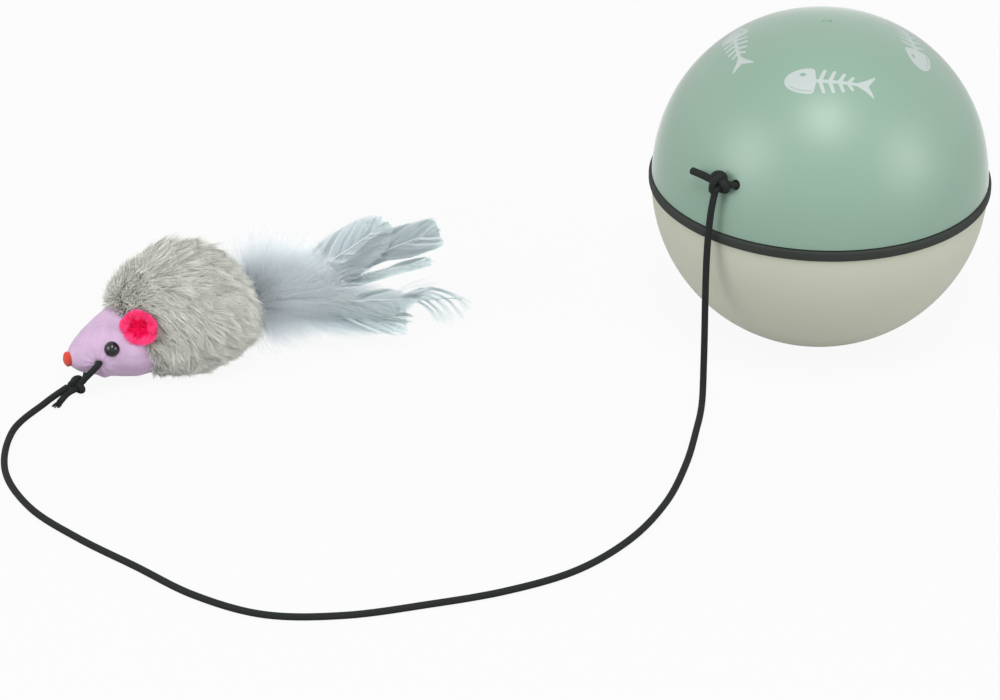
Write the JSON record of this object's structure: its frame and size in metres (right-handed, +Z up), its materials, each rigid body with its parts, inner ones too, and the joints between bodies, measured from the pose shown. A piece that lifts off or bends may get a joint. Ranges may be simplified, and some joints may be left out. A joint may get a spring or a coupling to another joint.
{
  "type": "self rolling cat ball",
  "caption": "Motorised rolling cat ball with mint and grey half shells, a black rubber seam ring and a plush feather tailed mouse on an elastic cord",
  "frame": {"origin": "middle of the resting flat at the ball's lower pole", "axes": "+Z up through both poles, +X to the right in the picture, the mouse lies towards -X and -Y"},
  "size_m": [0.2309, 0.1708, 0.0804],
  "materials": {
    "shell_mint": "satin",
    "shell_stone": "satin",
    "tyre_rubber": "matt",
    "cord_elastic": "braided elastic",
    "fur": "short dense fur",
    "felt": "flocked felt",
    "nose": "flocked",
    "bead": "polished",
    "ear": "fluff",
    "feather": "feather",
    "frame_plastic": "moulded",
    "gear_plastic": "moulded",
    "steel": "plated",
    "bronze": "sintered",
    "contact": "nickel plated",
    "jacket": "printed film",
    "dark_plastic": "moulded"
  },
  "bodies": {
    "ball": {"upper_shell": "shell_mint", "tyre_ring": "tyre_rubber", "spindle": "steel", "spindle_clip": "steel", "output_gear": "gear_plastic", "cord": "cord_elastic", "cord_knot": "cord_elastic", "cord_tail": "cord_elastic", "anchor_loop": "cord_elastic", "mouse_body": "fur", "mouse_head": "felt", "mouse_nose": "nose", "mouse_eye_left": "bead", "mouse_eye_right": "bead", "mouse_ear_left": "ear", "mouse_ear_right": "ear", "mouse_knot": "cord_elastic", "mouse_tail": "cord_elastic", "snout_strand_near": "cord_elastic", "snout_strand_far": "cord_elastic", "feather_low": "feather", "feather_side": "feather", "feather_mid": "feather", "feather_long": "feather", "feather_top": "feather"},
    "lower_shell": {"lower_shell": "shell_stone", "pivot_bush": "bronze"},
    "drive": {"drive_frame": "frame_plastic", "gear_cover": "frame_plastic", "cover_screw_1": "steel", "cover_screw_2": "steel", "cover_screw_3": "steel", "cover_screw_4": "steel", "deck_bush": "bronze", "cover_bush": "bronze", "pivot_pin": "steel", "motor_can": "steel", "motor_end_cap": "dark_plastic", "first_gear_pin": "steel", "second_gear_pin": "steel", "battery": "jacket", "battery_plate_low": "contact", "battery_plate_high": "contact", "battery_spring": "steel", "switch_body": "steel"},
    "motor_rotor": {"motor_shaft": "steel", "motor_pinion": "gear_plastic"},
    "first_gear": {"first_gear": "gear_plastic"},
    "second_gear": {"second_gear": "gear_plastic"},
    "switch_knob": {"switch_knob": "dark_plastic"}
  },
  "joints": [
    {"name": "drive_spin", "type": "hinge", "parent": "ball", "child": "drive", "pos_m": [0, 0, 0.03979], "axis": [0, 0, 1], "continuous": true},
    {"name": "second_gear_spin", "type": "hinge", "parent": "drive", "child": "second_gear", "pos_m": [0.00756, -0.00541, 0.03979], "axis": [0, 0, 1], "continuous": true},
    {"name": "first_gear_spin", "type": "hinge", "parent": "drive", "child": "first_gear", "pos_m": [0.00416, -0.01439, 0.03979], "axis": [0, 0, 1], "continuous": true},
    {"name": "motor_spin", "type": "hinge", "parent": "drive", "child": "motor_rotor", "pos_m": [-0.006, -0.0135, 0.03979], "axis": [0, 0, 1], "continuous": true},
    {"name": "lower_shell_twist", "type": "hinge", "parent": "ball", "child": "lower_shell", "pos_m": [0, 0, 0.03979], "axis": [0, 0, 1], "range_deg": [0, 20]},
    {"name": "switch_slide", "type": "slide", "parent": "drive", "child": "switch_knob", "axis": [0, 1, 0], "range_m": [0, 0.002]}
  ],
  "couplings": [
    {"joint": "second_gear_spin", "follows": "drive_spin", "ratio": 2.4444},
    {"joint": "first_gear_spin", "follows": "drive_spin", "ratio": -6.2469},
    {"joint": "motor_spin", "follows": "drive_spin", "ratio": 20.302}
  ]
}
